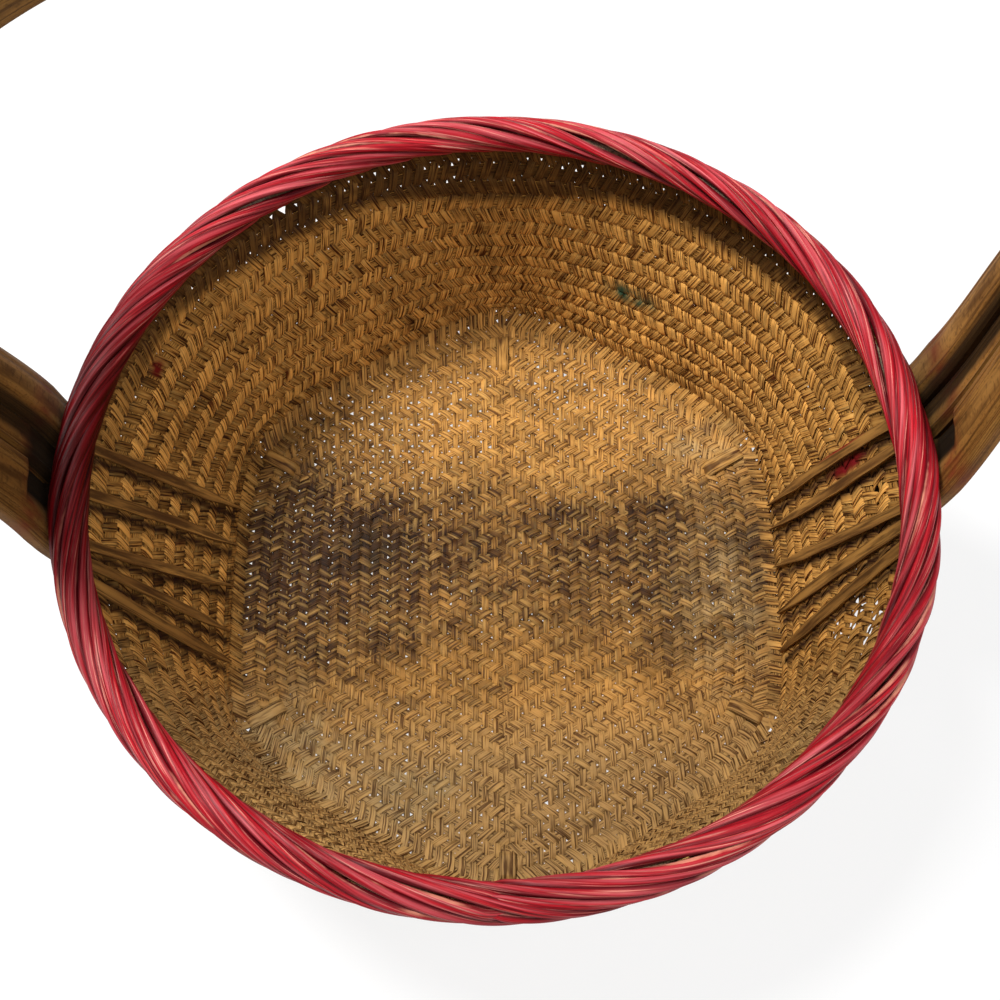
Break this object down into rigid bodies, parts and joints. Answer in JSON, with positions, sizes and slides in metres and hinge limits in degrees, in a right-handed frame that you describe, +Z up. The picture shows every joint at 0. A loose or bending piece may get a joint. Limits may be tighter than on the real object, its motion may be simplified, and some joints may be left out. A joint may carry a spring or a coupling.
{
  "type": "basket",
  "caption": "Woven bamboo basket with a hexagonal base, a round mouth bound with wound red cane, and a tall bent bamboo handle.",
  "frame": {"origin": "on the ground below the middle of the rim", "axes": "+Z up, +X along the handle's span to the right, +Y away from the viewer"},
  "size_m": [0.459, 0.4008, 0.5181],
  "materials": {
    "woven_bamboo": "bare woven split bamboo, browned by age",
    "split_bamboo": "bare split bamboo, worn smooth",
    "handle_bamboo": "bare bamboo, dark and polished by hands",
    "red_cane": "red-stained cane, worn along its edges",
    "cane_strap": "bare split cane"
  },
  "bodies": {
    "root": {"woven_body": "woven_bamboo", "base_slat_1": "split_bamboo", "base_slat_2": "split_bamboo", "base_slat_3": "split_bamboo", "rim_hoop_outer": "split_bamboo", "rim_hoop_inner": "split_bamboo", "rim_cane_1": "red_cane", "rim_cane_2": "red_cane", "rim_cane_3": "red_cane", "rim_cane_4": "red_cane", "handle_pole_back": "handle_bamboo", "handle_slat_middle": "handle_bamboo", "handle_pole_front": "handle_bamboo", "leg_strap_left_lower": "cane_strap", "leg_strap_left_upper": "cane_strap", "leg_strap_right_lower": "cane_strap", "leg_strap_right_upper": "cane_strap", "grip_strap_left": "cane_strap", "grip_strap_top": "cane_strap", "grip_strap_right": "cane_strap", "wall_splint_left_1": "split_bamboo", "wall_splint_left_2": "split_bamboo", "wall_splint_left_3": "split_bamboo", "wall_splint_left_4": "split_bamboo", "wall_splint_left_5": "split_bamboo", "wall_splint_right_1": "split_bamboo", "wall_splint_right_2": "split_bamboo", "wall_splint_right_3": "split_bamboo", "wall_splint_right_4": "split_bamboo", "wall_splint_right_5": "split_bamboo"}
  },
  "joints": []
}
